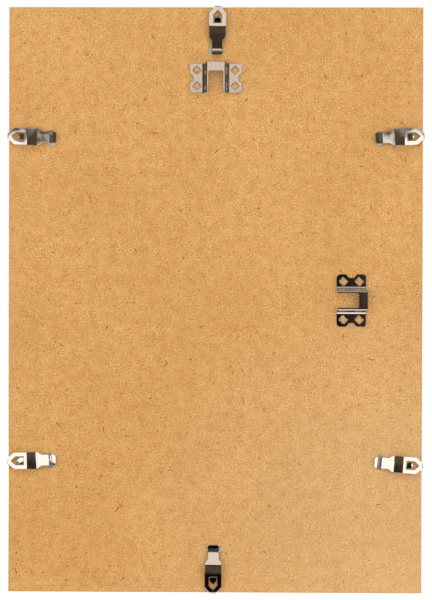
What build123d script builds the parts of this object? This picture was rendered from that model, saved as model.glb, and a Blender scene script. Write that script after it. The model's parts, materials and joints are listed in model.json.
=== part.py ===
from build123d import *
import os
from math import cos, radians, sin, sqrt, tan

# Clip frame for an A3 sheet, hung upright: a fibreboard back, a paper insert and a glass front, held
# together at the edges by six spring clips, with a saw-tooth hanger for portrait and for landscape.
# X runs across the frame, Z up, and the glass faces -Y, so Y = 0 is the back face of the board and
# what stands off the back has Y above 0. The origin is the nail seat of the portrait hanger.
# Left and right are as seen from the back: left is +X.

# Flat sheets
sheet_width = 297.0
sheet_height = 420.0
board_thickness = 3.0
insert_thickness = 0.25
insert_inset = 0.5
glass_thickness = 2.0
glass_edge_chamfer = 0.3

# Slots in the board that take the clips' tails
slot_from_edge = 30.4
slot_length = 11.8
slot_width = 4.5
slot_end_room = 0.9
side_slot_rise = 115.7

# Spring clips, bent from one strip of sheet steel. Lengths along a clip start at the board's edge.
clip_thickness = 0.6
clip_bend_radius = 0.4
clip_crown_radius = 8.0
clip_lip_reach = 2.0
clip_lip_gap = 0.25
clip_web_gap = 0.6
clip_arm_gap = 0.5
clip_crown_gap = 2.5
clip_crown_fall = 0.3
clip_crown_start = 13.3
clip_crown_end = 19.7
clip_dip_room = 0.8
clip_dip_depth = 1.4
clip_dip_lean = 21.0
clip_dip_radius = 0.2
clip_tail_gap = 0.4
clip_tab_gap = 1.1
clip_tab_length = 2.4
clip_width = 12.2
clip_tip_width = 4.6
clip_taper_end = 4.0
clip_shoulder_start = 21.0
clip_shoulder_end = 24.0
clip_tail_width = 8.2
clip_tab_end_width = 5.8
clip_tab_taper = 1.2

# House-shaped window in each clip and the pointed tongue bent down out of it
window_width = 6.0
window_apex = 1.9
window_eaves = 5.2
window_end = 11.3
tongue_width = 5.0
tongue_tip = 5.6
tongue_point = 2.6
tongue_toe = 1.9
tongue_toe_rise = 0.25
tongue_gap = 0.15

# Saw-tooth hangers, pressed from sheet. Heights along a hanger start at its nail seat.
hanger_thickness = 0.8
hanger_bend_radius = 0.8
hanger_foot_radius = 2.6
hanger_from_edge = 39.0
hanger_span = 37.8
bar_height = 6.2
bridge_gap = 2.4
bridge_foot = 15.4
step_width = 1.85
flange_width = 10.4
flange_top = 4.9
flange_foot = 16.4
flange_top_round = 2.0
flange_foot_round = 3.0
waist_depth = 2.6
waist_mouth = 7.9
waist_floor = 3.2
waist_round = 0.9
arm_width = 1.45
tooth_pitch = 1.95
tooth_depth = 0.9
pierce_from_side = 5.2
pierce_drop = 11.3
pierce_side = 4.1
pierce_corner = 0.85
pierce_round = 0.7
petal_width = 2.3
petal_reach = 1.3
petal_depth = 1.4

# Where the clips sit: the side they grip, how far up that side, how far each was pushed along its slot
# (as a share of the slot's free play) and how many degrees it leans, as hand-fitted clips do.
clip_seats = {
    "clip_top": ("top", 0, 0.9, 0.9),
    "clip_bottom": ("bottom", 0, 1.0, 0.4),
    "clip_left_upper": ("left", side_slot_rise, 1.0, 1.6),
    "clip_left_lower": ("left", -side_slot_rise, 0.6, -1.7),
    "clip_right_upper": ("right", side_slot_rise, -0.9, -2.7),
    "clip_right_lower": ("right", -side_slot_rise, 0.65, 4.5),
}

# Places worked out from the sizes above
stack = board_thickness + insert_thickness + glass_thickness
board_top = hanger_from_edge + bar_height
board_middle = board_top - sheet_height / 2
slot_play = (slot_length - clip_tail_width) / 2 - slot_end_room
bridge_width = hanger_span - 2 * (flange_width + step_width)
nail_window_width = bridge_width - 2 * arm_width
tooth_count = int(nail_window_width / tooth_pitch)
pierce_across = hanger_span / 2 - pierce_from_side
pierce_centres = [(x, y) for x in (-pierce_across, pierce_across) for y in (0, -pierce_drop)]
petal_root = hanger_thickness - pierce_round
back = Vector(0, 1, 0)
edge_middles = {
    "top": (Vector(0, 0, board_top), Vector(0, 0, -1)),
    "bottom": (Vector(0, 0, board_top - sheet_height), Vector(0, 0, 1)),
    "left": (Vector(sheet_width / 2, 0, board_middle), Vector(-1, 0, 0)),
    "right": (Vector(-sheet_width / 2, 0, board_middle), Vector(1, 0, 0)),
}
portrait_face = Plane((0, 0, 0), x_dir=(-1, 0, 0), z_dir=back)
landscape_face = Plane((board_top - sheet_width / 2, 0, board_middle), x_dir=(0, 0, -1), z_dir=back)


def slot_plane(side, rise):
    """Plane at a slot's centre on the back face: x points inward, y along the edge, z out of the back."""
    middle, inward = edge_middles[side]
    centre = middle + inward * slot_from_edge + Vector(0, 0, 1) * rise
    return Plane(centre, x_dir=inward, z_dir=back)


def clip_plane(side, rise, push, lean):
    """Plane of one clip: its origin lies over the board's edge, x runs inward along the clip."""
    slot = slot_plane(side, rise)
    inward = slot.x_dir * cos(radians(lean)) - slot.y_dir * sin(radians(lean))
    tail = slot.origin + slot.y_dir * (push * slot_play)
    return Plane(tail - inward * slot_from_edge, x_dir=inward, z_dir=back)


def clip_path():
    """Middle line of the bent strip, from the lip's tip to the end tab, and its bend radii."""
    half = clip_thickness / 2
    front = -stack - clip_lip_gap - half
    web = -clip_web_gap - half
    crown = clip_crown_gap + half
    floor = half - clip_dip_depth
    lean = tan(radians(clip_dip_lean))
    dip_half = slot_width / 2 - clip_dip_room - half / cos(radians(clip_dip_lean))
    floor_half = dip_half + floor * lean
    shoulder_half = dip_half + (clip_tail_gap + half) * lean
    points = [
        (clip_lip_reach, front),
        (web, front),
        (web, clip_arm_gap + half),
        (clip_crown_start, crown),
        (clip_crown_end, crown - clip_crown_fall),
        (slot_from_edge - shoulder_half, clip_tail_gap + half),
        (slot_from_edge - floor_half, floor),
        (slot_from_edge + floor_half, floor),
        (slot_from_edge + shoulder_half, clip_tail_gap + half),
        (slot_from_edge + shoulder_half + clip_tab_length, clip_tab_gap + half),
    ]
    wide = clip_bend_radius + half
    crest = clip_crown_radius + half
    tight = clip_dip_radius + half
    return points, [wide, wide, 4 * wide, crest, wide, tight, tight, tight]


def clip_outline(end):
    """Outline of the strip seen from the back, as a closed list of points."""
    outer = -clip_web_gap - clip_thickness
    half_edge = [
        (outer, clip_tip_width / 2),
        (-clip_web_gap, clip_tip_width / 2),
        (clip_taper_end, clip_width / 2),
        (clip_shoulder_start, clip_width / 2),
        (clip_shoulder_end, clip_tail_width / 2),
        (end - clip_tab_taper, clip_tail_width / 2),
        (end, clip_tab_end_width / 2),
    ]
    return half_edge + [(x, -y) for x, y in reversed(half_edge)]


def spring_clip(seat):
    """One clip: lip round the glass, arm over the edge, crown, tail that dips into the slot, end tab."""
    points, radii = clip_path()
    side = Plane(seat.origin, x_dir=seat.x_dir, z_dir=-seat.y_dir)
    half = clip_thickness / 2
    top = clip_crown_gap + 2 * clip_thickness
    arm_end = points[2]
    crown_start = points[3]
    slope = (crown_start[1] - arm_end[1]) / (crown_start[0] - arm_end[0])
    tongue_root = arm_end[1] + slope * (window_end - arm_end[0])
    toe = tongue_gap + half

    with BuildPart() as envelope:
        with BuildSketch(seat.offset(-board_thickness)):
            with BuildLine():
                Polyline(*clip_outline(points[-1][0]), close=True)
            make_face()
        extrude(amount=board_thickness + top)
        with BuildSketch(seat.offset(-board_thickness)):
            Rectangle(2 * (clip_lip_reach + clip_width), clip_tip_width)
        extrude(amount=board_thickness - 2 * stack)

    with BuildPart() as tongue:
        with BuildSketch(side):
            with BuildLine():
                FilletPolyline(
                    (window_end, tongue_root),
                    (tongue_tip + tongue_toe, toe + tongue_toe_rise),
                    (tongue_tip, toe),
                    radius=2 * clip_bend_radius + half,
                )
            trace(line_width=clip_thickness)
        extrude(amount=tongue_width / 2, both=True)
        with BuildSketch(seat):
            with BuildLine():
                Polyline(
                    (window_end + clip_thickness, tongue_width / 2),
                    (tongue_tip + tongue_point, tongue_width / 2),
                    (tongue_tip, 0),
                    (tongue_tip + tongue_point, -tongue_width / 2),
                    (window_end + clip_thickness, -tongue_width / 2),
                    close=True,
                )
            make_face()
        extrude(amount=top, both=True, mode=Mode.INTERSECT)

    with BuildPart() as clip:
        with BuildSketch(side):
            with BuildLine():
                FilletPolyline(*points, radius=radii)
            trace(line_width=clip_thickness)
            with Locations(points[0]):
                Circle(half)
        extrude(amount=clip_width / 2, both=True)
        add(envelope.part, mode=Mode.INTERSECT)
        with BuildSketch(seat):
            with BuildLine():
                Polyline(
                    (window_end, window_width / 2),
                    (window_eaves, window_width / 2),
                    (window_apex, 0),
                    (window_eaves, -window_width / 2),
                    (window_end, -window_width / 2),
                    close=True,
                )
            make_face()
        extrude(amount=top, mode=Mode.SUBTRACT)
        add(tongue.part)
    return clip.part


def hanger_petals(face):
    """Triangular petals of one hanger, folded from the pierced holes down into the board."""
    with BuildPart() as petals:
        for across, up in pierce_centres:
            for turn in (45, 135, 225, 315):
                out = face.x_dir * cos(radians(turn)) + face.y_dir * sin(radians(turn))
                centre = face.from_local_coords((across, up, 0))
                wall = Plane(centre + out * (pierce_side / 2), x_dir=face.z_dir.cross(-out), z_dir=-out)
                with BuildSketch(wall) as root:
                    with Locations((0, petal_root / 2)):
                        Rectangle(petal_width, petal_root)
                tip = Vertex(*wall.from_local_coords((0, -petal_depth, petal_reach)))
                loft(sections=[root.sketch.face(), tip])
    return petals.part


def pierced_rims(edges, face):
    """Edges round the pierced holes where they meet the outer face of the flanges."""
    rims = ShapeList()
    for edge in edges:
        spot = face.to_local_coords(edge.center()) - Vector(0, 0, hanger_thickness)
        away = min(Vector(spot.X - x, spot.Y - y, 0).length for x, y in pierce_centres)
        if abs(spot.Z) < pierce_round / 2 and away < pierce_side / sqrt(2):
            rims.append(edge)
    return rims


def saw_tooth_hanger(face):
    """One hanger on its board face: x along the toothed bar, y towards the bar, z out of the back."""
    half = hanger_thickness / 2
    bridge = bridge_width / 2
    flange = bridge + step_width
    reach = hanger_span / 2
    waist = -pierce_drop / 2
    bend = hanger_bend_radius + half
    foot = hanger_foot_radius + half
    height = bar_height + flange_foot
    section = Plane(face.from_local_coords((0, bar_height, 0)), x_dir=face.x_dir, z_dir=-face.y_dir)

    half_edge = [
        (bridge, bar_height, 0),
        (flange, flange_top, 0),
        (reach, flange_top, flange_top_round),
        (reach, waist + waist_mouth / 2, waist_round),
        (reach - waist_depth, waist + waist_floor / 2, waist_round),
        (reach - waist_depth, waist - waist_floor / 2, waist_round),
        (reach, waist - waist_mouth / 2, waist_round),
        (reach, -flange_foot, flange_foot_round),
        (flange, -flange_foot, 0),
        (bridge, -bridge_foot, 0),
    ]
    outline = half_edge + [(-x, y, r) for x, y, r in reversed(half_edge)]

    teeth_half = tooth_count * tooth_pitch / 2
    teeth = []
    for notch in range(tooth_count):
        teeth.append((notch * tooth_pitch - teeth_half, -tooth_depth))
        teeth.append((notch * tooth_pitch - teeth_half + tooth_pitch / 2, 0))
    teeth.append((teeth_half, -tooth_depth))

    with BuildPart() as hanger:
        with BuildSketch(section):
            with BuildLine():
                FilletPolyline(
                    (-reach, half),
                    (-flange, half),
                    (-bridge, bridge_gap + half),
                    (bridge, bridge_gap + half),
                    (flange, half),
                    (reach, half),
                    radius=[foot, bend, bend, foot],
                )
            trace(line_width=hanger_thickness)
        extrude(amount=height)
        with BuildSketch(face):
            with BuildLine():
                FilletPolyline(*[(x, y) for x, y, r in outline], radius=[r for x, y, r in outline], close=True)
            make_face()
            with BuildLine():
                Polyline(
                    (-nail_window_width / 2, -height),
                    (-nail_window_width / 2, -tooth_depth),
                    *teeth,
                    (nail_window_width / 2, -tooth_depth),
                    (nail_window_width / 2, -height),
                    close=True,
                )
            make_face(mode=Mode.SUBTRACT)
            with Locations(*pierce_centres):
                RectangleRounded(pierce_side, pierce_side, pierce_corner, rotation=45, mode=Mode.SUBTRACT)
        extrude(amount=bridge_gap + 2 * hanger_thickness, mode=Mode.INTERSECT)
        fillet(pierced_rims(hanger.edges(), face), radius=pierce_round)
        add(hanger_petals(face))
    return hanger.part


with BuildPart() as backboard:
    with BuildSketch(Plane.XZ):
        with Locations((0, board_middle)):
            Rectangle(sheet_width, sheet_height)
    extrude(amount=board_thickness)
    for side, rise, push, lean in clip_seats.values():
        with BuildSketch(slot_plane(side, rise)):
            SlotOverall(slot_length, slot_width, rotation=90)
        extrude(amount=-board_thickness, mode=Mode.SUBTRACT)
    add(hanger_petals(portrait_face), mode=Mode.SUBTRACT)
    add(hanger_petals(landscape_face), mode=Mode.SUBTRACT)

with BuildPart() as insert_sheet:
    with BuildSketch(Plane.XZ.offset(board_thickness)):
        with Locations((0, board_middle)):
            Rectangle(sheet_width - 2 * insert_inset, sheet_height - 2 * insert_inset)
    extrude(amount=insert_thickness)

with BuildPart() as front_glass:
    with BuildSketch(Plane.XZ.offset(board_thickness + insert_thickness)):
        with Locations((0, board_middle)):
            Rectangle(sheet_width, sheet_height)
    extrude(amount=glass_thickness)
    rims = front_glass.faces().filter_by(Axis.Y).edges()
    chamfer(rims, length=glass_edge_chamfer)

pieces = {
    "backboard": backboard.part,
    "insert_sheet": insert_sheet.part,
    "front_glass": front_glass.part,
    "portrait_hanger": saw_tooth_hanger(portrait_face),
    "landscape_hanger": saw_tooth_hanger(landscape_face),
}
for name, seat in clip_seats.items():
    pieces[name] = spring_clip(clip_plane(*seat))

os.makedirs("parts", exist_ok=True)
for name, piece in pieces.items():
    piece.label = name
    export_step(piece, f"parts/{name}.step")
    print(f"{name}: {len(piece.solids())} solid, {piece.volume:.1f} mm3")
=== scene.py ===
# %% [markdown]
# # A clip frame, seen from the back
#
# The object is a picture holder without rails: a fibreboard back, a paper insert and a sheet of glass,
# gripped at the edges by six spring clips. Two stamped saw-tooth hangers carry it upright or sideways.
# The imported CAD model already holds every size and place, so this script only dresses it. The board and
# the glass keep their CAD meshes and get finishes. Clips, hangers and paper are finished copies.
# Everything is in metres, in the CAD model's own frame: X across, Z up, and the back faces +Y.

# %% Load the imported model
import json
import math

import bmesh
import bpy
from mathutils import Matrix, Quaternion, Vector
from mathutils.bvhtree import BVHTree

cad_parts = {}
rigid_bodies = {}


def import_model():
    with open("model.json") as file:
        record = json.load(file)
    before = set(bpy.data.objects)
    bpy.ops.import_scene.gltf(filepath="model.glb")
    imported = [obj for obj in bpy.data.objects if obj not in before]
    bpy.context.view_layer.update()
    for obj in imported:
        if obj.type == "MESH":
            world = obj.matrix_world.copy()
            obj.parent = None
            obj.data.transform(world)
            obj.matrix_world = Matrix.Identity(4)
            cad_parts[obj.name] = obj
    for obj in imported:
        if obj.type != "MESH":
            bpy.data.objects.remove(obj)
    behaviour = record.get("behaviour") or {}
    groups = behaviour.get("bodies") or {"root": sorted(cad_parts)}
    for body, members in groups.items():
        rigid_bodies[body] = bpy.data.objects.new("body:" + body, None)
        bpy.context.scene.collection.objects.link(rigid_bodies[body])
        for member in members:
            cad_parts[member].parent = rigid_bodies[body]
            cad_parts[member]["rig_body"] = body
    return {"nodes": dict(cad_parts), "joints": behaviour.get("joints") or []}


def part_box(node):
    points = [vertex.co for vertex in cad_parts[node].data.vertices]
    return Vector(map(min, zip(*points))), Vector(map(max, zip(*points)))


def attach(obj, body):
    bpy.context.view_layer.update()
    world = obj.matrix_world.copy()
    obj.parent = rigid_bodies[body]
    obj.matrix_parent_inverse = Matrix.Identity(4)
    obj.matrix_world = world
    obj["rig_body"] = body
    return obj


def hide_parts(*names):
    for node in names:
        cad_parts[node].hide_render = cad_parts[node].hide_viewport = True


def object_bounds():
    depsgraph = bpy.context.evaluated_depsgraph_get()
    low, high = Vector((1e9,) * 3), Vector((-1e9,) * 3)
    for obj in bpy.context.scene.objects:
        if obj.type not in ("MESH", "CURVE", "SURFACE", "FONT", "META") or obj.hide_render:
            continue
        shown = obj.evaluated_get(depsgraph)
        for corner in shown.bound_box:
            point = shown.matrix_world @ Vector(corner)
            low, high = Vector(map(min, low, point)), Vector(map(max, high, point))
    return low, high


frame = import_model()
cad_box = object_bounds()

MM = 0.001
scene = bpy.context.scene
nodes = frame["nodes"]
clip_names = sorted(name for name in nodes if name.startswith("clip_"))
hanger_names = sorted(name for name in nodes if name.endswith("_hanger"))
board_low, board_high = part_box("backboard")
board_middle = (board_low + board_high) / 2
board_size = board_high - board_low
print("loaded", len(nodes), "nodes; board", [round(v / MM, 1) for v in board_size], "mm")

# %% [markdown]
# ## Camera
#
# The photograph looks square at the back of the frame, so hardly any depth shows. A short lens close by
# would show the inner walls of the slots on one side, so a long lens two metres away is used instead.
# The board leans by a sixth of a degree in the picture, and its right and top edges are a shade longer
# than the others, so the camera stands a little to that side and is rolled by that much.

# %% Camera
CAMERA_PLACE = Vector((-0.038, 2.0, -0.1464))
CAMERA_AIM = Vector((-0.0005, 0.0, -0.1647))
CAMERA_ROLL = math.radians(0.16)
LENS = 167.2
SIGHT_END = 60.0

camera_data = bpy.data.cameras.new("back_view")
camera_data.lens = LENS
camera_data.clip_end = SIGHT_END
camera = bpy.data.objects.new("back_view", camera_data)
scene.collection.objects.link(camera)
camera.location = CAMERA_PLACE
look = (CAMERA_AIM - CAMERA_PLACE).to_track_quat("-Z", "Y")
camera.rotation_mode = "QUATERNION"
camera.rotation_quaternion = look @ Quaternion((0, 0, 1), CAMERA_ROLL)
scene.camera = camera
print("camera", round((CAMERA_AIM - CAMERA_PLACE).length, 3), "m from the board")

# %% [markdown]
# ## Small helpers
#
# Every finish below is a node tree. Writing each node out by hand takes three or four lines, so one
# function adds a node, sets its properties and fills its sockets. A socket given as a value is linked.
# The others empty a tree, start a finish and fill a colour ramp. Colours are picked as sRGB hex, the way
# a colour picker shows them, and shaders want linear light, so one function turns them.

# %% Helpers for node trees
# A Mix node has a set of sockets for each kind of data. These are the numbers of its colour sockets.
COLOUR_A, COLOUR_B, MIXED = 6, 7, 2


def linear(code):
    """Linear RGBA of an sRGB colour written as six hex digits."""
    shares = [int(code[i:i + 2], 16) / 255 for i in (0, 2, 4)]
    return tuple(c / 12.92 if c <= 0.04045 else ((c + 0.055) / 1.055) ** 2.4 for c in shares) + (1.0,)


def fill(tree, node, inputs):
    """Sets a node's sockets, by name or number, to values, or links them to the sockets given."""
    for socket, value in dict(inputs).items():
        if isinstance(value, bpy.types.NodeSocket):
            tree.links.new(value, node.inputs[socket])
        else:
            node.inputs[socket].default_value = value


def add_node(tree, kind, inputs=(), **settings):
    """Adds a node to a tree with its settings, and fills its sockets."""
    made = tree.nodes.new(kind)
    for name, value in settings.items():
        setattr(made, name, value)
    fill(tree, made, inputs)
    return made


def blank_tree(owner):
    """The emptied node tree of a material or world."""
    owner.use_nodes = True
    owner.node_tree.nodes.clear()
    return owner.node_tree


def new_finish(name):
    """An empty material: its tree, its Principled shader and the Object coordinates, in metres."""
    finish = bpy.data.materials.new(name)
    tree = blank_tree(finish)
    shader = add_node(tree, "ShaderNodeBsdfPrincipled")
    add_node(tree, "ShaderNodeOutputMaterial", {"Surface": shader.outputs["BSDF"]})
    place = add_node(tree, "ShaderNodeTexCoord").outputs["Object"]
    return finish, tree, shader, place


def stops(ramp, *pairs):
    """Fills a colour ramp with (position, hex) pairs."""
    elements = ramp.color_ramp.elements
    while len(elements) < len(pairs):
        elements.new(1.0)
    for element, (position, code) in zip(elements, pairs):
        element.position = position
        element.color = linear(code)


WHITE = linear("FFFFFF")
print("white is", WHITE)

# %% [markdown]
# ## Studio
#
# Polished clips are mirrors, so a lamp that lights the board well would also show in them. Light and
# reflections are therefore kept apart. Five soft boxes give the light: one to each side of the back, one
# above it, and two for the glass side. Camera and reflections don't see them.
# The world and the floor are white to the camera and in reflections. The light that they really give is
# lower, so that colours render as they were picked. Close to the frame the lamps make the floor pale by
# themselves, and the frame's shadow shows on it. Further off, where no lamp reaches, a glow that only
# the camera and reflections see takes over. The floor lies a little below the frame, because the bottom
# clip swings down past the board's edge.

# %% World
# The share of white that the world gives as light.
AMBIENT = 0.225


def seen_ray(tree):
    """1 for rays of the camera, of reflections and of glass; 0 for rays that carry light."""
    path = add_node(tree, "ShaderNodeLightPath").outputs
    pair = add_node(tree, "ShaderNodeMath", {0: path["Is Camera Ray"], 1: path["Is Glossy Ray"]},
                    operation="MAXIMUM")
    return add_node(tree, "ShaderNodeMath", {0: pair.outputs[0], 1: path["Is Transmission Ray"]},
                    operation="MAXIMUM").outputs[0]


world = bpy.data.worlds.new("white_studio")
scene.world = world
tree = blank_tree(world)
ambient = add_node(tree, "ShaderNodeBackground", {"Color": WHITE, "Strength": AMBIENT})
white = add_node(tree, "ShaderNodeBackground", {"Color": WHITE, "Strength": 1.0})
mixed = add_node(tree, "ShaderNodeMixShader",
                 {0: seen_ray(tree), 1: ambient.outputs[0], 2: white.outputs[0]})
add_node(tree, "ShaderNodeOutputWorld", {"Surface": mixed.outputs[0]})
print("the world shows white and gives", AMBIENT, "of it")

# %% Floor
FLOOR_BELOW = 40 * MM
FLOOR_REACH = 40.0
FLOOR_TONE = "E8E8E8"
# The glow at the frame and far away, and the distances between which it rises.
FLOOR_GLOW = (0.2, 0.83)
LAMPS_REACH = (1.2, 2.6)
table_level = cad_box[0].z
floor_level = table_level - FLOOR_BELOW
frame_foot = (board_middle.x, board_middle.y, floor_level)


def stage_mesh(name, corners, faces, finish):
    """A mesh object that belongs to the stage, not to the frame."""
    mesh = bpy.data.meshes.new(name)
    mesh.from_pydata(corners, [], faces)
    mesh.materials.append(finish)
    thing = bpy.data.objects.new(name, mesh)
    scene.collection.objects.link(thing)
    return thing


floor_paint = bpy.data.materials.new("white_floor")
tree = blank_tree(floor_paint)
matte = add_node(tree, "ShaderNodeBsdfDiffuse", {"Color": linear(FLOOR_TONE)})
floor_place = add_node(tree, "ShaderNodeTexCoord").outputs["Object"]
spread = add_node(tree, "ShaderNodeVectorMath", {0: floor_place, 1: frame_foot}, operation="DISTANCE")
fill_in = add_node(tree, "ShaderNodeMapRange",
                   {"Value": spread.outputs["Value"], "From Min": LAMPS_REACH[0],
                    "From Max": LAMPS_REACH[1], "To Min": FLOOR_GLOW[0], "To Max": FLOOR_GLOW[1]})
glow_strength = add_node(tree, "ShaderNodeMath", {0: seen_ray(tree), 1: fill_in.outputs[0]},
                         operation="MULTIPLY")
glow = add_node(tree, "ShaderNodeEmission", {"Strength": glow_strength.outputs[0]})
both = add_node(tree, "ShaderNodeAddShader", {0: matte.outputs[0], 1: glow.outputs[0]})
add_node(tree, "ShaderNodeOutputMaterial", {"Surface": both.outputs[0]})

stage_mesh("floor", [(x * FLOOR_REACH, y * FLOOR_REACH, floor_level)
                     for x, y in ((-1, -1), (1, -1), (1, 1), (-1, 1))], [(0, 1, 2, 3)], floor_paint)
print("floor at", round(floor_level / MM, 2), "mm")

# %% Soft boxes that give the light
# An area lamp takes four watts for each square metre and each unit of radiance.
WATTS_PER_RADIANCE = 4.0
SIDE_BOX = (0.8, 0.58)
TOP_BOX = (1.2, 0.87)


def soft_box(name, offset, size, radiance):
    """An area lamp aimed at the board's middle; its offset from there is to the left, back and up."""
    data = bpy.data.lights.new(name, "AREA")
    data.shape = "RECTANGLE"
    data.size, data.size_y = size
    data.energy = radiance * size[0] * size[1] * WATTS_PER_RADIANCE
    lamp = bpy.data.objects.new(name, data)
    lamp.location = board_middle + Vector(offset)
    lamp.rotation_mode = "QUATERNION"
    lamp.rotation_quaternion = (board_middle - lamp.location).to_track_quat("-Z", "Y")
    lamp.visible_camera = False
    lamp.visible_glossy = False
    scene.collection.objects.link(lamp)


soft_box("soft_box_left", (1.7, 1.0, 0.10), SIDE_BOX, 8.3)
soft_box("soft_box_right", (-1.7, 1.0, 0.05), SIDE_BOX, 9.5)
soft_box("soft_box_above", (0.0, 1.5, 2.55), TOP_BOX, 8.4)
soft_box("soft_box_front_left", (1.3, -1.6, 0.5), SIDE_BOX, 19.0)
soft_box("soft_box_front_right", (-1.3, -1.6, 0.3), SIDE_BOX, 19.0)

# %% [markdown]
# ## What the metal sees
#
# In the photograph the clips are white where they face the sides or the table, light grey where they face
# above the lens, and almost black where they face the camera. Each face shows another piece of the room,
# so the room is built from what the faces show. White cards stand to both sides of the lens, a grey one
# above it, and black ones around it and high up. Behind them hangs dark cloth. High up and low down it
# has pale bands, which draw the bright lines along the hangers' bends. On the table lies a dark sheet,
# black at the frame, with white sheets on it. All of it glows a little and nothing but reflections sees
# it, so the look of the metal can be set without changing how the board is lit.

# %% Cards in the plane of the lens
CARD_PLANE = 2.0
ROOM_GLOW = (0.095, 0.066, 0.042)
WHITE_CARD = (1.5, 1.46, 1.42)
GREY_CARD = (1.02, 0.92, 0.85)
BLACK_CARD = (0.006, 0.005, 0.004)

card_paint = bpy.data.materials.new("soft_edged_card")
tree = blank_tree(card_paint)
shade = add_node(tree, "ShaderNodeAttribute", attribute_name="glow")
lit = add_node(tree, "ShaderNodeEmission", {"Color": shade.outputs["Color"]})
add_node(tree, "ShaderNodeOutputMaterial", {"Surface": lit.outputs[0]})


def only_reflections(thing):
    """Hides a thing from every ray but those of reflections."""
    thing.visible_camera = False
    thing.visible_diffuse = False
    thing.visible_transmission = False
    thing.visible_volume_scatter = False
    thing.visible_shadow = False


def glowing(thing, tones):
    """Gives each corner of a card its own glow."""
    glow = thing.data.attributes.new("glow", "FLOAT_COLOR", "POINT")
    glow.data.foreach_set("color", [share for tone in tones for share in tone + (1.0,)])
    only_reflections(thing)


def card(name, sides, low, highs, soft, tone):
    """A card with a soft border that fades into the room; measured from the board's middle, as seen."""
    left, right = sides
    corners = []
    for inset in (0.0, soft):
        for x, z in ((left + inset, low + inset), (right - inset, low + inset),
                     (right - inset, highs[1] - inset), (left + inset, highs[0] - inset)):
            corners.append((board_middle.x - x, CARD_PLANE, board_middle.z + z))
    ring = [(i, (i + 1) % 4, (i + 1) % 4 + 4, i + 4) for i in range(4)]
    thing = stage_mesh(name, corners, ring + [(4, 5, 6, 7)], card_paint)
    glowing(thing, [ROOM_GLOW] * 4 + [tone] * 4)


# Each card has its left and right side, its low edge, its high edge at both sides, and its soft border.
card("card_left", (-1.2, -0.40), -0.6, (0.327, 0.170), 0.07, WHITE_CARD)
card("card_right", (0.40, 1.2), -0.6, (0.177, 0.425), 0.07, WHITE_CARD)
card("card_above", (-0.40, 0.40), 0.235, (1.22, 1.22), 0.035, GREY_CARD)
card("card_high", (-0.90, 0.90), 2.05, (4.20, 4.20), 0.10, BLACK_CARD)
card("card_lens", (-0.09, 0.20), -0.17, (0.13, 0.13), 0.05, BLACK_CARD)

# %% Dark room with pale bands
ROOM_RADIUS = 6.0
# Degrees away from straight out of the back, and how pale the cloth is there.
PALE_BANDS = [(42, "000000"), (47, "FFFFFF"), (66, "FFFFFF"),
              (73, "000000"), (82, "000000"), (87, "FFFFFF")]
# How far up or down a direction has to point for the bands to come in, as a share of its length.
BANDS_FROM = (0.2, 0.4)

room_cloth = bpy.data.materials.new("dark_cloth")
tree = blank_tree(room_cloth)
heading = add_node(tree, "ShaderNodeVectorMath",
                   {0: add_node(tree, "ShaderNodeTexCoord").outputs["Object"]}, operation="NORMALIZE")
facing = add_node(tree, "ShaderNodeSeparateXYZ", {0: heading.outputs[0]})
off_axis = add_node(tree, "ShaderNodeMath", {0: facing.outputs["Y"]}, operation="ARCCOSINE")
turned = add_node(tree, "ShaderNodeMath", {0: off_axis.outputs[0], 1: math.pi / 2}, operation="DIVIDE")
pale_bands = add_node(tree, "ShaderNodeValToRGB", {"Fac": turned.outputs[0]})
stops(pale_bands, *[(degrees / 90, code) for degrees, code in PALE_BANDS])
rise = add_node(tree, "ShaderNodeMath", {0: facing.outputs["Z"]}, operation="ABSOLUTE")
high_or_low = add_node(tree, "ShaderNodeMapRange",
                       {"Value": rise.outputs[0], "From Min": BANDS_FROM[0], "From Max": BANDS_FROM[1]})
paleness = add_node(tree, "ShaderNodeMath", {0: pale_bands.outputs["Color"], 1: high_or_low.outputs[0]},
                    operation="MULTIPLY")
wall_tone = add_node(tree, "ShaderNodeMix",
                     {"Factor": paleness.outputs[0], COLOUR_A: ROOM_GLOW + (1.0,),
                      COLOUR_B: WHITE_CARD + (1.0,)}, data_type="RGBA")
cloth = add_node(tree, "ShaderNodeEmission", {"Color": wall_tone.outputs[MIXED]})
add_node(tree, "ShaderNodeOutputMaterial", {"Surface": cloth.outputs[0]})

room_shape = bmesh.new()
bmesh.ops.create_uvsphere(room_shape, u_segments=64, v_segments=32, radius=ROOM_RADIUS)
behind = [v for v in room_shape.verts if v.co.y < -MM]
bmesh.ops.delete(room_shape, geom=behind, context="VERTS")
room = stage_mesh("dark_room", [], [], room_cloth)
room_shape.to_mesh(room.data)
room_shape.free()
room.location = board_middle
only_reflections(room)
print("dark room of", len(room.data.polygons), "faces")

# %% Sheets on the table
DARK_LIFT = 0.2 * MM
WHITE_LIFT = 0.4 * MM
DIM = tuple(tone * 0.5 for tone in ROOM_GLOW)
RAISED = tuple(tone * 1.3 for tone in ROOM_GLOW)


def table_sheet(name, left, right, lift, rows):
    """A sheet on the table, from row to row away from the frame; each row is its distance and its tone."""
    corners = [(board_middle.x - x, y, table_level + lift) for y, tone in rows for x in (left, right)]
    faces = [(i, i + 1, i + 3, i + 2) for i in range(0, 2 * len(rows) - 2, 2)]
    glowing(stage_mesh(name, corners, faces, card_paint), [tone for y, tone in rows for side in (0, 1)])


table_sheet("dark_sheet", -ROOM_RADIUS, ROOM_RADIUS, DARK_LIFT,
            [(cad_box[1].y + MM, BLACK_CARD), (1.2, DIM), (1.7, RAISED), (ROOM_RADIUS, RAISED)])
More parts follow.
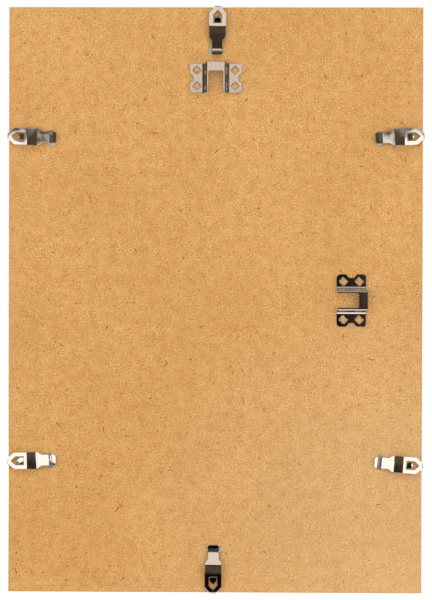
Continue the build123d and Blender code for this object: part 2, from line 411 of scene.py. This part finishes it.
# Each white sheet has its left and right side and its distances from the frame, near and far.
for name, left, right, near, far in (("white_sheet_left", -0.93, -0.25, 0.75, 2.2),
                                     ("white_sheet_right", 0.25, 0.93, 0.58, 2.2),
                                     ("white_sheet_far_left", -3.0, -0.93, 0.2, 3.0),
                                     ("white_sheet_far_right", 0.93, 3.0, 0.2, 3.0),
                                     ("white_sheet_near", 0.07, 0.30, 0.08, 0.5)):
    table_sheet(name, left, right, WHITE_LIFT, [(near, WHITE_CARD), (far, WHITE_CARD)])

# %% [markdown]
# ## Fibreboard
#
# The back is MDF, wood fibres pressed flat with resin and sanded. Up close its face is a felt of short
# fibres, tan with paler and browner threads. In some patches the felt is calmer, dark crumbs lie between
# the fibres, and the tone is mottled and drifts over the sheet. One corner has a painted sheen, a veil of
# light laid into the colour. An image could give that, but noise does it at any distance, with one noise
# for each of these at its own size. Threads are drawn where a noise crosses its middle value, which gives
# thin crooked lines.
# Along the outer edge a browner band is painted in as shade, where the edge turns away from the light.
# The sawn edges and the slot walls have that browner tone as their own colour. Those are found by depth,
# since both faces lie at known depths in the board.

# %% Fibre grain and threads
# A real fibre is about a tenth of a millimetre wide, too fine to show in the picture. Grain and threads
# are drawn about ten times as coarse, so that they do.
GRAIN = 1.1 * MM
THREAD = 1.5 * MM
THREAD_EDGE = 0.035
THREAD_SHARE = 0.4

# Raw fibreboard, pressed and sanded: matt and tan, even from afar and a felt up close.
mdf, tree, shader, place = new_finish("mdf_pressed_fibreboard")
grain = add_node(tree, "ShaderNodeTexNoise",
                 {"Vector": place, "Scale": 1 / GRAIN, "Detail": 3.0, "Roughness": 0.62})
tone = add_node(tree, "ShaderNodeValToRGB", {"Fac": grain.outputs["Fac"]})
stops(tone, (0.24, "9C600A"), (0.42, "CE9847"), (0.58, "E3B276"), (0.78, "FDE3BE"))

thread = add_node(tree, "ShaderNodeTexNoise",
                  {"Vector": place, "Scale": 1 / THREAD, "Detail": 2.0, "Distortion": 1.6})
off_middle = add_node(tree, "ShaderNodeMath", {0: thread.outputs["Fac"], 1: 0.5}, operation="SUBTRACT")
near_middle = add_node(tree, "ShaderNodeMath", {0: off_middle.outputs[0]}, operation="ABSOLUTE")
thread_mask = add_node(tree, "ShaderNodeMapRange",
                       {"Value": near_middle.outputs[0], "From Min": 0.0, "From Max": THREAD_EDGE,
                        "To Min": THREAD_SHARE, "To Max": 0.0})
threaded = add_node(tree, "ShaderNodeMix",
                    {"Factor": thread_mask.outputs[0], COLOUR_A: tone.outputs["Color"],
                     COLOUR_B: linear("A87030")}, data_type="RGBA")
print("grain", GRAIN / MM, "mm, threads", THREAD / MM, "mm")

# %% Calm patches, crumbs and mottle
PATCH = 12 * MM
CRUMB = 2.4 * MM
MOTTLE = 7 * MM
CALM_SHARE = 0.45
CRUMB_SHARE = 0.55

patch = add_node(tree, "ShaderNodeTexNoise",
                 {"Vector": place, "Scale": 1 / PATCH, "Detail": 2.0, "Roughness": 0.6})
calm = add_node(tree, "ShaderNodeMapRange",
                {"Value": patch.outputs["Fac"], "From Min": 0.42, "From Max": 0.64, "To Min": 0.0,
                 "To Max": CALM_SHARE})
calmed = add_node(tree, "ShaderNodeMix",
                  {"Factor": calm.outputs[0], COLOUR_A: threaded.outputs[MIXED],
                   COLOUR_B: linear("DDAA66")}, data_type="RGBA")
crumb = add_node(tree, "ShaderNodeTexNoise", {"Vector": place, "Scale": 1 / CRUMB, "Detail": 1.0})
crumb_mask = add_node(tree, "ShaderNodeMapRange",
                      {"Value": crumb.outputs["Fac"], "From Min": 0.64, "From Max": 0.74, "To Min": 0.0,
                       "To Max": CRUMB_SHARE})
crumbed = add_node(tree, "ShaderNodeMix",
                   {"Factor": crumb_mask.outputs[0], COLOUR_A: calmed.outputs[MIXED],
                    COLOUR_B: linear("8A5210")}, data_type="RGBA")
mottle = add_node(tree, "ShaderNodeTexNoise",
                  {"Vector": place, "Scale": 1 / MOTTLE, "Detail": 3.0, "Roughness": 0.6})
mottle_tone = add_node(tree, "ShaderNodeValToRGB", {"Fac": mottle.outputs["Fac"]})
stops(mottle_tone, (0.34, "F5E9D3"), (0.50, "FAF5EB"), (0.66, "FFFFFF"))
mottled = add_node(tree, "ShaderNodeMix",
                   {"Factor": 1.0, COLOUR_A: crumbed.outputs[MIXED],
                    COLOUR_B: mottle_tone.outputs["Color"]}, data_type="RGBA", blend_type="MULTIPLY")
print("patches", PATCH / MM, "mm, mottle", MOTTLE / MM, "mm, crumbs", CRUMB / MM, "mm")

# %% Slow drift and a painted sheen in one corner
DRIFT = 70 * MM
SHEEN_FROM, SHEEN_TO = 40 * MM, 230 * MM
SHEEN_SHARE = 0.11
sheen_corner = (board_low.x, board_high.y, board_low.z)

drift = add_node(tree, "ShaderNodeTexNoise", {"Vector": place, "Scale": 1 / DRIFT, "Detail": 2.0})
drift_tone = add_node(tree, "ShaderNodeValToRGB", {"Fac": drift.outputs["Fac"]})
stops(drift_tone, (0.30, "F6F3EE"), (0.70, "FFFFFF"))
drifted = add_node(tree, "ShaderNodeMix",
                   {"Factor": 1.0, COLOUR_A: mottled.outputs[MIXED],
                    COLOUR_B: drift_tone.outputs["Color"]}, data_type="RGBA", blend_type="MULTIPLY")
# Painted sheen: towards the corner at the lower right, as seen from the back, the tone is mixed a little
# towards cream, a veil of light laid into the colour.
from_corner = add_node(tree, "ShaderNodeVectorMath", {0: place, 1: sheen_corner}, operation="DISTANCE")
sheen_fade = add_node(tree, "ShaderNodeMapRange",
                 {"Value": from_corner.outputs["Value"], "From Min": SHEEN_FROM, "From Max": SHEEN_TO,
                  "To Min": SHEEN_SHARE, "To Max": 0.0})
pale = add_node(tree, "ShaderNodeMix",
                {"Factor": sheen_fade.outputs[0], COLOUR_A: drifted.outputs[MIXED],
                 COLOUR_B: linear("FFF2CE")}, data_type="RGBA")
print("paler up to", SHEEN_TO / MM, "mm from the corner")

# %% Painted edge shade and sawn edges
EDGE_SHADE_FROM, EDGE_SHADE_TO = 0.1 * MM, 0.9 * MM
EDGE_SHADE_SHARE = 0.55
FACE_SKIN = 0.05 * MM


def inset_from_sides(tree, parts):
    """How far a point lies inside the outline that the board and the glass share."""
    gaps = []
    for axis, i in (("X", 0), ("Z", 2)):
        centred = add_node(tree, "ShaderNodeMath", {0: parts[axis], 1: board_middle[i]},
                           operation="SUBTRACT")
        size = add_node(tree, "ShaderNodeMath", {0: centred.outputs[0]}, operation="ABSOLUTE")
        gap = add_node(tree, "ShaderNodeMath", {0: board_size[i] / 2, 1: size.outputs[0]},
                       operation="SUBTRACT")
        gaps.append(gap.outputs[0])
    return add_node(tree, "ShaderNodeMath", {0: gaps[0], 1: gaps[1]}, operation="MINIMUM").outputs[0]


parts = add_node(tree, "ShaderNodeSeparateXYZ", {"Vector": place}).outputs
# Painted shade: a browner band just inside the outer edge, where the edge turns away from the light.
shaded = add_node(tree, "ShaderNodeMapRange",
                  {"Value": inset_from_sides(tree, parts), "From Min": EDGE_SHADE_FROM, "From Max": EDGE_SHADE_TO,
                   "To Min": EDGE_SHADE_SHARE, "To Max": 0.0})
under_back = add_node(tree, "ShaderNodeMath", {0: parts["Y"], 1: board_high.y - FACE_SKIN},
                      operation="LESS_THAN")
over_front = add_node(tree, "ShaderNodeMath", {0: parts["Y"], 1: board_low.y + FACE_SKIN},
                      operation="GREATER_THAN")
sawn = add_node(tree, "ShaderNodeMath", {0: under_back.outputs[0], 1: over_front.outputs[0]},
                operation="MULTIPLY")
# One browner tone serves both the painted edge shade and the sawn faces' own colour.
edge_mask = add_node(tree, "ShaderNodeMath", {0: shaded.outputs[0], 1: sawn.outputs[0]},
                     operation="MAXIMUM")
edged = add_node(tree, "ShaderNodeMix",
                 {"Factor": edge_mask.outputs[0], COLOUR_A: pale.outputs[MIXED],
                  COLOUR_B: linear("C4935A")}, data_type="RGBA")
print("edges rubbed up to", EDGE_SHADE_TO / MM, "mm in")

# %% Fibreboard surface
GRAIN_DEPTH = 0.04 * MM
RESIN_IOR = 1.5


def dress(name, finish):
    """Puts one finish on a CAD node that stays in sight."""
    nodes[name].data.materials.clear()
    nodes[name].data.materials.append(finish)


rough = add_node(tree, "ShaderNodeMapRange",
                 {"Value": grain.outputs["Fac"], "From Min": 0.2, "From Max": 0.8, "To Min": 0.62,
                  "To Max": 0.80})
bump = add_node(tree, "ShaderNodeBump",
                {"Height": grain.outputs["Fac"], "Distance": GRAIN_DEPTH, "Strength": 1.0})
fill(tree, shader, {"Base Color": edged.outputs[MIXED], "Roughness": rough.outputs[0],
                    "Normal": bump.outputs["Normal"], "IOR": RESIN_IOR})
dress("backboard", mdf)
print("fibreboard nodes", len(tree.nodes))

# %% [markdown]
# ## Bark flecks
#
# A few darker splinters of bark lie in the board's face, from one to five millimetres long. They repeat
# over a surface, so Geometry Nodes scatter them: points on the back face, kept clear of its edges and
# slots, each with a bent sliver turned at random. Painting them in the material would be lighter, but a
# scatter gives each its own length and direction. Slivers stand a hair proud, as pressed bark does.

# %% Bark finish
BARK_PATCH = 9 * MM

# Bark, pressed in with the fibres: dark brown, a little uneven, with hardly any shine.
fleck_finish, tree, shader, place = new_finish("mdf_bark_fleck")
fleck_noise = add_node(tree, "ShaderNodeTexNoise",
                       {"Vector": place, "Scale": 1 / BARK_PATCH, "Detail": 1.0})
fleck_tone = add_node(tree, "ShaderNodeValToRGB", {"Fac": fleck_noise.outputs["Fac"]})
stops(fleck_tone, (0.35, "65380A"), (0.65, "96611C"))
fill(tree, shader, {"Base Color": fleck_tone.outputs["Color"], "Roughness": 0.9, "Specular IOR Level": 0.1})
print("finish", fleck_finish.name)

# %% Back face that the flecks lie in
WELD = 0.001 * MM

face_shape = bmesh.new()
face_shape.from_mesh(nodes["backboard"].data)
bmesh.ops.remove_doubles(face_shape, verts=face_shape.verts, dist=WELD)
not_back = [f for f in face_shape.faces if min(v.co.y for v in f.verts) < board_high.y - FACE_SKIN]
bmesh.ops.delete(face_shape, geom=not_back, context="FACES")
face_mesh = bpy.data.meshes.new("bark_flecks")
face_shape.to_mesh(face_mesh)
face_shape.free()
flecks = bpy.data.objects.new("bark_flecks", face_mesh)
scene.collection.objects.link(flecks)
print("back face of", len(face_mesh.polygons), "triangles")

# %% Scatter tree, from the face to points clear of its edges
# Compare and Random Value have a set of sockets for each kind of data. These are numbers of their sockets.
WHOLE_A, WHOLE_B = 2, 3
RANDOM_MAX, RANDOM = 3, 1

scatter = bpy.data.node_groups.new("scatter_flecks", "GeometryNodeTree")
for label, kind, direction in (("Geometry", "NodeSocketGeometry", "INPUT"),
                               ("Flecks per square metre", "NodeSocketFloat", "INPUT"),
                               ("Clear of edges", "NodeSocketFloat", "INPUT"),
                               ("Shortest", "NodeSocketFloat", "INPUT"),
                               ("Longest", "NodeSocketFloat", "INPUT"),
                               ("Width", "NodeSocketFloat", "INPUT"),
                               ("Thickness", "NodeSocketFloat", "INPUT"),
                               ("Bend", "NodeSocketFloat", "INPUT"),
                               ("Finish", "NodeSocketMaterial", "INPUT"),
                               ("Seed", "NodeSocketInt", "INPUT"),
                               ("Geometry", "NodeSocketGeometry", "OUTPUT")):
    scatter.interface.new_socket(label, in_out=direction, socket_type=kind)
given = add_node(scatter, "NodeGroupInput").outputs

around = add_node(scatter, "GeometryNodeInputMeshEdgeNeighbors")
rim = add_node(scatter, "FunctionNodeCompare", {WHOLE_A: around.outputs[0], WHOLE_B: 1},
               data_type="INT", operation="EQUAL")
rims = add_node(scatter, "GeometryNodeSeparateGeometry",
                {"Geometry": given["Geometry"], "Selection": rim.outputs[0]}, domain="EDGE")
points = add_node(scatter, "GeometryNodeDistributePointsOnFaces",
                  {"Mesh": given["Geometry"], "Density": given["Flecks per square metre"],
                   "Seed": given["Seed"]})
reach = add_node(scatter, "GeometryNodeProximity", {0: rims.outputs["Selection"]}, target_element="EDGES")
crowded = add_node(scatter, "FunctionNodeCompare",
                   {0: reach.outputs["Distance"], 1: given["Clear of edges"]}, operation="LESS_THAN")
kept = add_node(scatter, "GeometryNodeDeleteGeometry",
                {"Geometry": points.outputs["Points"], "Selection": crowded.outputs[0]}, domain="POINT")
print("inputs", [item.name for item in scatter.interface.items_tree if item.in_out == "INPUT"])

# %% Scatter tree, from points to bent slivers
MOSTLY_SHORT = 3.0
TURN_SEED = 7

sliver = add_node(scatter, "GeometryNodeMeshIcoSphere", {"Radius": 0.5, "Subdivisions": 2})
spot = add_node(scatter, "GeometryNodeInputPosition")
along = add_node(scatter, "ShaderNodeSeparateXYZ", {0: spot.outputs[0]}).outputs["X"]
curved = add_node(scatter, "ShaderNodeMath", {0: along, 1: along}, operation="MULTIPLY")
swung = add_node(scatter, "ShaderNodeMath", {0: curved.outputs[0], 1: given["Bend"]}, operation="MULTIPLY")
shift = add_node(scatter, "ShaderNodeCombineXYZ", {"Y": swung.outputs[0]})
bent = add_node(scatter, "GeometryNodeSetPosition",
                {"Geometry": sliver.outputs["Mesh"], "Offset": shift.outputs[0]})

chance = add_node(scatter, "FunctionNodeRandomValue", {"Seed": given["Seed"]}, data_type="FLOAT")
short = add_node(scatter, "ShaderNodeMath", {0: chance.outputs[RANDOM], 1: MOSTLY_SHORT}, operation="POWER")
length = add_node(scatter, "ShaderNodeMapRange",
                  {"Value": short.outputs[0], "To Min": given["Shortest"], "To Max": given["Longest"]})
scale = add_node(scatter, "ShaderNodeCombineXYZ",
                 {"X": length.outputs[0], "Y": given["Width"], "Z": given["Thickness"]})
turn = add_node(scatter, "FunctionNodeRandomValue", {RANDOM_MAX: math.tau, "Seed": TURN_SEED},
                data_type="FLOAT")
spin = add_node(scatter, "FunctionNodeAxisAngleToRotation",
                {"Axis": (0, 0, 1), "Angle": turn.outputs[RANDOM]})
lay = add_node(scatter, "FunctionNodeRotateRotation",
               {0: points.outputs["Rotation"], 1: spin.outputs[0]}, rotation_space="LOCAL")
placed = add_node(scatter, "GeometryNodeInstanceOnPoints",
                  {"Points": kept.outputs[0], "Instance": bent.outputs[0], "Rotation": lay.outputs[0],
                   "Scale": scale.outputs[0]})
real = add_node(scatter, "GeometryNodeRealizeInstances", {0: placed.outputs[0]})
painted = add_node(scatter, "GeometryNodeSetMaterial",
                   {"Geometry": real.outputs[0], "Material": given["Finish"]})
add_node(scatter, "NodeGroupOutput", {"Geometry": painted.outputs[0]})
print("scatter nodes", len(scatter.nodes))

# %% Scatter the flecks and keep a plain mesh
FLECK_INPUTS = {"Flecks per square metre": 1300.0, "Clear of edges": 3.0 * MM, "Shortest": 1.1 * MM,
                "Longest": 5.5 * MM, "Width": 0.65 * MM, "Thickness": 0.05 * MM, "Bend": 0.9,
                "Finish": fleck_finish, "Seed": 11}

modifier = flecks.modifiers.new("scatter", "NODES")
modifier.node_group = scatter
inputs = {item.name: item.identifier for item in scatter.interface.items_tree if item.in_out == "INPUT"}
for label, value in FLECK_INPUTS.items():
    modifier[inputs[label]] = value
evaluated = flecks.evaluated_get(bpy.context.evaluated_depsgraph_get())
fleck_mesh = bpy.data.meshes.new_from_object(evaluated)
flecks.modifiers.remove(modifier)
flecks.data = fleck_mesh
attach(flecks, "panel")
print("bark flecks", len(fleck_mesh.polygons), "faces")

# %% [markdown]
# ## Paper insert
#
# The insert is plain paper, a warm white, thin enough to let some light through: seen in the slots from
# the back, it glows faintly with the light from the front, so it gets a subsurface share. In the CAD model
# it touches the board and the glass, and two faces in one place flicker when light has to choose between
# them. A copy with six tenths of the thickness stands for it.

# %% Paper insert
PULP = 1.6 * MM
PULP_DEPTH = 0.01 * MM
LIGHT_REACH = 0.4 * MM
PAPER_SHARE = 0.6

# Uncoated paper: matt, with pale clouds of pulp. Real pulp is finer; it is drawn coarse enough to show.
paper, tree, shader, place = new_finish("uncoated_white_paper")
pulp = add_node(tree, "ShaderNodeTexNoise", {"Vector": place, "Scale": 1 / PULP, "Detail": 4.0})
pulp_tone = add_node(tree, "ShaderNodeValToRGB", {"Fac": pulp.outputs["Fac"]})
stops(pulp_tone, (0.3, "F2E9DB"), (0.7, "FBF5EA"))
pulp_bump = add_node(tree, "ShaderNodeBump", {"Height": pulp.outputs["Fac"], "Distance": PULP_DEPTH})
fill(tree, shader, {"Base Color": pulp_tone.outputs["Color"], "Normal": pulp_bump.outputs["Normal"],
                    "Roughness": 0.85, "Subsurface Weight": 1.0, "Subsurface Radius": (1.0, 1.0, 1.0),
                    "Subsurface Scale": LIGHT_REACH})

paper_low, paper_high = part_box("insert_sheet")
paper_middle = (paper_low + paper_high) / 2
paper_mesh = nodes["insert_sheet"].data.copy()
paper_mesh.transform(Matrix.Translation(paper_middle) @ Matrix.Diagonal((1, PAPER_SHARE, 1, 1))
                     @ Matrix.Translation(-paper_middle))
paper_mesh.materials.clear()
paper_mesh.materials.append(paper)
sheet = bpy.data.objects.new("paper_sheet", paper_mesh)
scene.collection.objects.link(sheet)
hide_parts("insert_sheet")
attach(sheet, "panel")
print("paper", round((paper_high.y - paper_low.y) * PAPER_SHARE / MM, 3), "mm")

# %% [markdown]
# ## Front glass
#
# The front is float glass: clear when looked through, green along its edges, where the light has a long
# way to go. Tinting the surface would colour the whole sheet, so a thin absorbing volume does it instead.
# The edges are ground and look frosted, and touched glass is never quite even, so its roughness follows
# faint smudges.

# %% Front glass
SMUDGE = 45 * MM
GROUND_FROM, GROUND_TO = 0.25 * MM, 0.4 * MM
FROST = 0.35
GLASS_IOR = 1.52
GLASS_DENSITY = 9.0

# Float glass with ground edges: clear and glossy, with a green, frosted rim.
glass, tree, shader, place = new_finish("float_glass")
smudge = add_node(tree, "ShaderNodeTexNoise", {"Vector": place, "Scale": 1 / SMUDGE, "Detail": 3.0})
smear = add_node(tree, "ShaderNodeMapRange",
                 {"Value": smudge.outputs["Fac"], "From Min": 0.45, "From Max": 0.8, "To Min": 0.01,
                  "To Max": 0.06})
parts = add_node(tree, "ShaderNodeSeparateXYZ", {"Vector": place}).outputs
ground = add_node(tree, "ShaderNodeMapRange",
                  {"Value": inset_from_sides(tree, parts), "From Min": GROUND_FROM, "From Max": GROUND_TO,
                   "To Min": FROST, "To Max": 0.0})
frosted = add_node(tree, "ShaderNodeMath", {0: smear.outputs[0], 1: ground.outputs[0]}, operation="MAXIMUM")
fill(tree, shader, {"Roughness": frosted.outputs[0], "Transmission Weight": 1.0, "IOR": GLASS_IOR})
absorb = add_node(tree, "ShaderNodeVolumeAbsorption", {"Color": linear("B9E3CF"), "Density": GLASS_DENSITY})
output = next(n for n in tree.nodes if n.type == "OUTPUT_MATERIAL")
fill(tree, output, {"Volume": absorb.outputs[0]})
dress("front_glass", glass)
glass_low, glass_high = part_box("front_glass")
print("glass", round((glass_high.y - glass_low.y) / MM, 2), "mm")

# %% [markdown]
# ## Rounded copies of the stampings
#
# Sheet metal that is cut in a press keeps a small round along its edges, and those rounds catch a thin
# line of light. The CAD solids have sharp edges, which look cut from card. A copy of each mesh is welded,
# its flat triangles are joined to whole faces, and a bevel rounds what is sharp. At a tight corner a bevel
# can throw a point far out, so such strays are put back on the CAD surface. Smooth shading would bend the
# light on the flats too, so the largest flat at each corner leads its normal, and only the rounds turn it.

# %% Functions for strays and normals
# Faces that turn the same way within this depth belong to one flat.
LEVEL = 0.01 * MM


def draw_back_strays(mesh, skin, furthest):
    """Puts corners that a bevel threw too far from the CAD surface back on it; returns how many."""
    count = 0
    for vertex in mesh.vertices:
        nearest, _, _, gap = skin.find_nearest(vertex.co)
        if gap > furthest:
            vertex.co = nearest
            count += 1
    return count


def flat_led_normals(mesh):
    """Lets the largest flat that a corner touches lead its normal, so that only rounds turn the light."""
    def flat(face):
        level = round(face.normal.dot(face.center) / LEVEL)
        return tuple(round(share, 3) for share in face.normal) + (level,)

    areas = {}
    for face in mesh.polygons:
        areas[flat(face)] = areas.get(flat(face), 0) + face.area
    normals = [Vector() for _ in mesh.vertices]
    for face in mesh.polygons:
        for corner in face.vertices:
            normals[corner] += face.normal * areas[flat(face)]
    mesh.normals_split_custom_set_from_vertices([normal.normalized() for normal in normals])


print("faces within", LEVEL / MM, "mm make one flat")

# %% Function that rounds a stamping
SHARP = math.radians(40)
SAME_PLANE = math.radians(0.4)
# A corner is a stray when it lies further off than this share of the edge round.
STRAY = 0.5


def rounded_copy(node, name, edge_round, finish):
    """A copy of a CAD node with its sharp edges rounded, which stands for the node."""
    shape = bmesh.new()
    shape.from_mesh(nodes[node].data)
    bmesh.ops.remove_doubles(shape, verts=shape.verts, dist=WELD)
    bmesh.ops.dissolve_limit(shape, angle_limit=SAME_PLANE, verts=shape.verts, edges=shape.edges)
    skin = BVHTree.FromBMesh(shape)
    mesh = bpy.data.meshes.new(name)
    shape.to_mesh(mesh)
    shape.free()
    piece = bpy.data.objects.new(name, mesh)
    scene.collection.objects.link(piece)
    mesh.materials.append(finish)
    for polygon in mesh.polygons:
        polygon.use_smooth = True
    bevel = piece.modifiers.new("edge_round", "BEVEL")
    bevel.width = edge_round
    bevel.segments = 2
    bevel.limit_method = "ANGLE"
    bevel.angle_limit = SHARP
    bevel.use_clamp_overlap = False
    bevel.miter_outer = "MITER_ARC"
    evaluated = piece.evaluated_get(bpy.context.evaluated_depsgraph_get())
    finished = bpy.data.meshes.new_from_object(evaluated)
    piece.modifiers.clear()
    piece.data = finished
    strays = draw_back_strays(finished, skin, STRAY * edge_round)
    flat_led_normals(finished)
    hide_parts(node)
    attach(piece, nodes[node]["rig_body"])
    print(name, len(finished.polygons), "faces, drew back", strays, "corners")
    return piece


print("stampings", clip_names + hanger_names)

# %% [markdown]
# ## Spring clips
#
# Hardened strip steel, nickel-plated and bright. It has a mirror's contrast with a faint warmth, fine
# lines from rolling along the strip, and it is never quite flat: pressing leaves it wavy by a degree or
# so, which breaks up the reflections. The rolling lines follow each strip, so every clip carries its own
# along-and-across coordinates as an attribute. The waviness reads Object coordinates, so no two match.

# %% Bright finish of the clips
WAVE = 9 * MM
WAVE_DEPTH = 0.10 * MM
# Real rolling lines lie some hundredths of a millimetre apart. These are drawn coarser, so that they show.
ROLL_LINE = 0.25 * MM
LINE_LENGTH = 14 * MM
LINE_DEPTH = 4 * MM

# Polished nickel on spring steel: a warm mirror, slightly wavy and faintly lined.
bright, tree, shader, place = new_finish("bright_nickel_spring_steel")
wave = add_node(tree, "ShaderNodeTexNoise", {"Vector": place, "Scale": 1 / WAVE, "Detail": 0.5})
strip = add_node(tree, "ShaderNodeAttribute", attribute_name="strip_place")
lines_map = add_node(tree, "ShaderNodeMapping",
                     {"Vector": strip.outputs["Vector"],
                      "Scale": (1 / LINE_LENGTH, 1 / ROLL_LINE, 1 / LINE_DEPTH)})
lines = add_node(tree, "ShaderNodeTexNoise", {"Vector": lines_map.outputs[0], "Scale": 1.0, "Detail": 2.0})
line_rough = add_node(tree, "ShaderNodeMapRange",
                      {"Value": lines.outputs["Fac"], "From Min": 0.3, "From Max": 0.7, "To Min": 0.035,
                       "To Max": 0.06})
wave_bump = add_node(tree, "ShaderNodeBump", {"Height": wave.outputs["Fac"], "Distance": WAVE_DEPTH})
fill(tree, shader, {"Base Color": linear("DAD4CA"), "Metallic": 1.0, "Roughness": line_rough.outputs[0],
                    "Normal": wave_bump.outputs["Normal"]})
print("finish", bright.name)

# %% Clips
CLIP_ROUND = 0.25 * MM

for name in clip_names:
    clip = rounded_copy(name, name.replace("clip", "spring_clip"), CLIP_ROUND, bright)
    joint = next(j for j in frame["joints"] if j["child"] == name)
    axis = Vector(joint["axis"]).normalized()
    inward = Vector((0, 1, 0)).cross(axis)
    hinge = Vector(joint["pos_m"])
    local = clip.data.attributes.new("strip_place", "FLOAT_VECTOR", "POINT")
    for vertex, item in zip(clip.data.vertices, local.data):
        offset = vertex.co - hinge
        item.vector = (offset.dot(inward), offset.dot(axis), offset.y)

# %% [markdown]
# ## Saw-tooth hangers
#
# The hangers are mild steel, nickel-plated straight from the press, so they are duller than the clips: a
# soft silver with a fine grain and shallow dents. A grain in the tone alone would look printed, so the
# same noise also drives the roughness and a very slight bump.

# %% Satin finish of the hangers
# Real satin grain is finer than a tenth of a millimetre. It is drawn coarser, so that it shows.
SATIN_GRAIN = 0.22 * MM
SATIN_DEPTH = 0.0005 * MM
DENT = 8 * MM
DENT_DEPTH = 0.03 * MM

# Nickel on pressed mild steel: a satin silver that shows the room in soft tones.
satin, tree, shader, place = new_finish("satin_nickel_mild_steel")
speck = add_node(tree, "ShaderNodeTexNoise", {"Vector": place, "Scale": 1 / SATIN_GRAIN, "Detail": 2.0})
speck_rough = add_node(tree, "ShaderNodeMapRange",
                       {"Value": speck.outputs["Fac"], "From Min": 0.3, "From Max": 0.7, "To Min": 0.05,
                        "To Max": 0.09})
speck_tone = add_node(tree, "ShaderNodeValToRGB", {"Fac": speck.outputs["Fac"]})
stops(speck_tone, (0.3, "C8BDB2"), (0.7, "D8CDC2"))
speck_bump = add_node(tree, "ShaderNodeBump", {"Height": speck.outputs["Fac"], "Distance": SATIN_DEPTH})
dent = add_node(tree, "ShaderNodeTexNoise", {"Vector": place, "Scale": 1 / DENT, "Detail": 0.5})
dent_bump = add_node(tree, "ShaderNodeBump", {"Height": dent.outputs["Fac"], "Distance": DENT_DEPTH,
                                              "Normal": speck_bump.outputs["Normal"]})
fill(tree, shader, {"Base Color": speck_tone.outputs["Color"], "Metallic": 1.0,
                    "Roughness": speck_rough.outputs[0], "Normal": dent_bump.outputs["Normal"]})
print("finish", satin.name)

# %% Hangers
HANGER_ROUND = 0.2 * MM

for name in hanger_names:
    rounded_copy(name, name.replace("hanger", "saw_tooth_hanger"), HANGER_ROUND, satin)

# %% [markdown]
# ## View transform
#
# The dressed frame must stay inside the CAD model's box. The view transform is Standard, which shows
# colours as they were picked.

# %% View transform
scene.view_settings.view_transform = "Standard"
